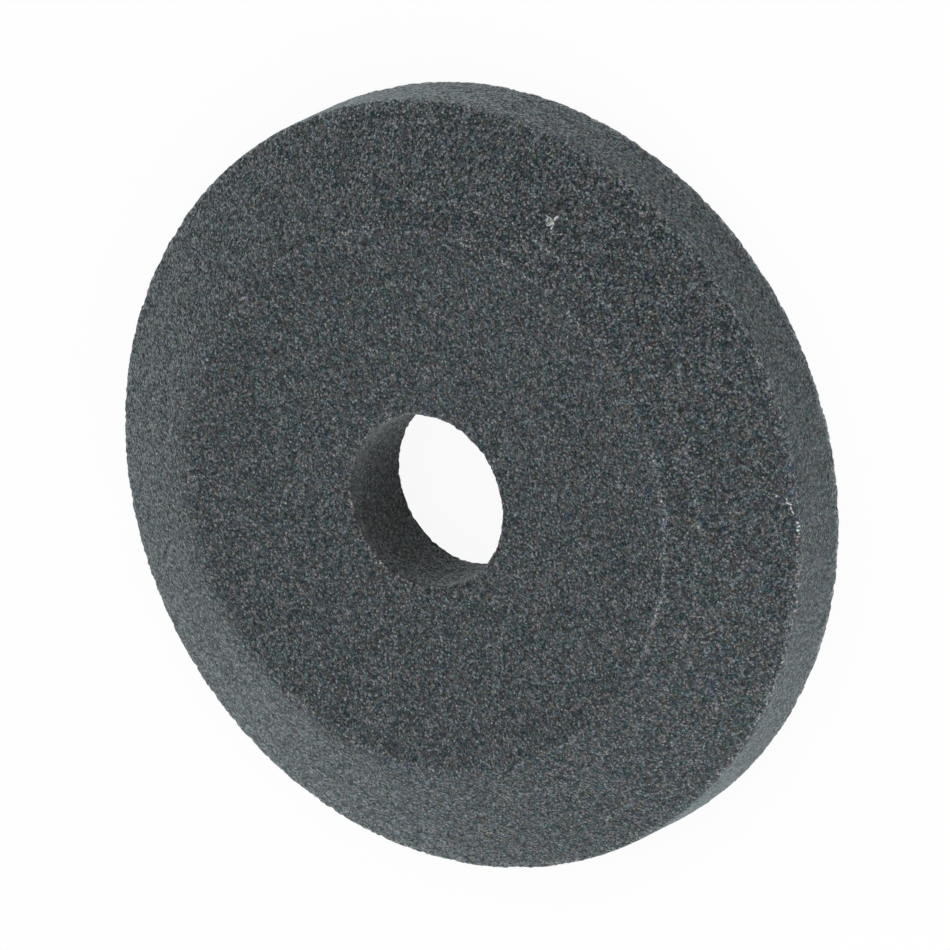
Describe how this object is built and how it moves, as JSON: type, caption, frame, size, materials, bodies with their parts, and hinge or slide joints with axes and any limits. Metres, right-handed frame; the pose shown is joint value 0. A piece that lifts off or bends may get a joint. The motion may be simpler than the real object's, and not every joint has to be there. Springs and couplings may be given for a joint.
{
  "type": "sharpening stone",
  "caption": "Ring-shaped abrasive sharpening stone with a conical bevel, a straight spindle bore and a recessed back, for a blade sharpener.",
  "frame": {"origin": "middle of the flat back plane that the stone lies on, on the bore's axis", "axes": "+Z along the bore's axis, from the recessed flat back towards the bevelled face; X and Y are any two directions across it, because the stone is round"},
  "size_m": [0.045, 0.045, 0.008],
  "materials": {
    "bonded_abrasive": "dark blue-grey vitrified silicon carbide, fine open grain, matt with tiny glinting facets"
  },
  "bodies": {
    "root": {"sharpening_stone": "bonded_abrasive"}
  },
  "joints": []
}
